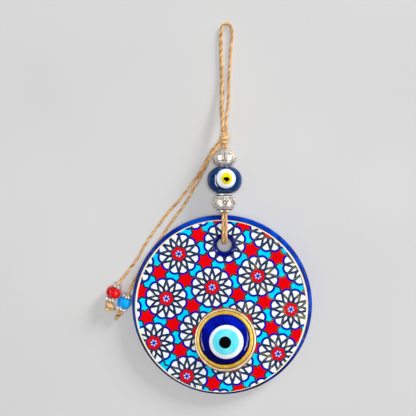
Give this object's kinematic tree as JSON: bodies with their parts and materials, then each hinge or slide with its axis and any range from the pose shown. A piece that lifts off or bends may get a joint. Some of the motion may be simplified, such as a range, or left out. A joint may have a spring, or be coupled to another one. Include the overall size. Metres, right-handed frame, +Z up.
{
  "type": "evil eye ornament",
  "caption": "Round cobalt glass wall ornament with a patterned face and a domed eye, hung on jute twine with large beads, a loop and two beaded tails.",
  "frame": {"origin": "on the surface that the ornament lies on, under the centre of the glass disc", "axes": "+X to the right and +Y towards the hanging loop, seen from the front; +Z is up, out of the front face"},
  "size_m": [0.1493, 0.2716, 0.0188],
  "materials": {
    "cobalt_glass": "glossy, opaque",
    "dark_glass": "glossy, nearly opaque",
    "white_glass": "glossy, opaque",
    "light_blue_glass": "glossy, opaque",
    "black_glass": "glossy, opaque",
    "yellow_glass": "glossy, opaque",
    "red_glass": "glossy, opaque",
    "turquoise_glass": "semi-gloss, opaque",
    "patterned_face": "printed rosette pattern under gloss",
    "gold": "polished gilt",
    "antique_silver": "antique silver plate",
    "jute": "two-ply jute twine"
  },
  "bodies": {
    "cord": {"main_knot": "jute", "left_front_strand": "jute", "right_front_strand": "jute", "left_back_strand": "jute", "right_back_strand": "jute"},
    "disc": {"glass_disc": "cobalt_glass", "patterned_face": "patterned_face", "bezel_ring": "gold", "eye_dome": "cobalt_glass", "eye_white": "white_glass", "eye_light_blue": "light_blue_glass", "eye_pupil": "black_glass", "left_disc_strand": "jute", "right_disc_strand": "jute"},
    "lower_metal_bead": {"lower_metal_bead": "antique_silver"},
    "nazar_bead": {"nazar_bead": "dark_glass", "nazar_white": "white_glass", "nazar_yellow": "yellow_glass", "nazar_pupil": "black_glass"},
    "upper_metal_bead": {"upper_metal_bead": "antique_silver"},
    "loop": {"hanging_loop": "jute"},
    "blue_tail": {"blue_tail": "jute", "blue_end_knot": "jute"},
    "red_tail": {"red_tail": "jute", "red_end_knot": "jute"},
    "blue_upper_spacer": {"blue_upper_spacer": "antique_silver"},
    "blue_bead": {"blue_bead": "turquoise_glass"},
    "blue_lower_spacer": {"blue_lower_spacer": "antique_silver"},
    "red_upper_spacer": {"red_upper_spacer": "antique_silver"},
    "red_bead": {"red_bead": "red_glass"},
    "red_lower_spacer": {"red_lower_spacer": "antique_silver"}
  },
  "joints": [
    {"name": "disc_swing", "type": "hinge", "parent": "cord", "child": "disc", "pos_m": [0.0016, 0.0625, 0.0106], "axis": [-1, 0, 0], "range_deg": [0, 90], "deforming": ["left_front_strand", "right_front_strand", "left_back_strand", "right_back_strand"]},
    {"name": "lower_bead_spin", "type": "hinge", "parent": "cord", "child": "lower_metal_bead", "pos_m": [0.0016, 0.07375, 0.0087], "axis": [0, 1, 0], "continuous": true},
    {"name": "nazar_bead_spin", "type": "hinge", "parent": "cord", "child": "nazar_bead", "pos_m": [0.0016, 0.08985, 0.0087], "axis": [0, 1, 0], "continuous": true},
    {"name": "upper_bead_spin", "type": "hinge", "parent": "cord", "child": "upper_metal_bead", "pos_m": [0.0016, 0.10595, 0.0087], "axis": [0, 1, 0], "continuous": true},
    {"name": "loop_lift", "type": "hinge", "parent": "cord", "child": "loop", "pos_m": [0.0016, 0.1274, 0.0087], "axis": [1, 0, 0], "range_deg": [0, 90], "deforming": ["hanging_loop"]},
    {"name": "blue_tail_swing", "type": "hinge", "parent": "cord", "child": "blue_tail", "pos_m": [0.0016, 0.1203, 0.0087], "axis": [0, 0, -1], "range_deg": [0, 35]},
    {"name": "red_tail_swing", "type": "hinge", "parent": "blue_tail", "child": "red_tail", "pos_m": [0.0016, 0.1203, 0.0087], "axis": [0, 0, -1], "range_deg": [0, 20]},
    {"name": "blue_upper_spacer_spin", "type": "hinge", "parent": "blue_tail", "child": "blue_upper_spacer", "pos_m": [-0.06889, 0.00602, 0.0051], "axis": [-0.4067, -0.9135, 0], "continuous": true},
    {"name": "blue_bead_spin", "type": "hinge", "parent": "blue_tail", "child": "blue_bead", "pos_m": [-0.0709, 0.0015, 0.0051], "axis": [-0.4067, -0.9135, 0], "continuous": true},
    {"name": "blue_lower_spacer_spin", "type": "hinge", "parent": "blue_tail", "child": "blue_lower_spacer", "pos_m": [-0.07291, -0.00302, 0.0051], "axis": [-0.4067, -0.9135, 0], "continuous": true},
    {"name": "red_upper_spacer_spin", "type": "hinge", "parent": "red_tail", "child": "red_upper_spacer", "pos_m": [-0.07597, 0.01346, 0.0055], "axis": [-0.5446, -0.8387, 0], "continuous": true},
    {"name": "red_bead_spin", "type": "hinge", "parent": "red_tail", "child": "red_bead", "pos_m": [-0.0786, 0.0088, 0.0055], "axis": [-0.4384, -0.8988, 0], "continuous": true},
    {"name": "red_lower_spacer_spin", "type": "hinge", "parent": "red_tail", "child": "red_lower_spacer", "pos_m": [-0.08065, 0.00386, 0.0055], "axis": [-0.3256, -0.9455, 0], "continuous": true}
  ]
}
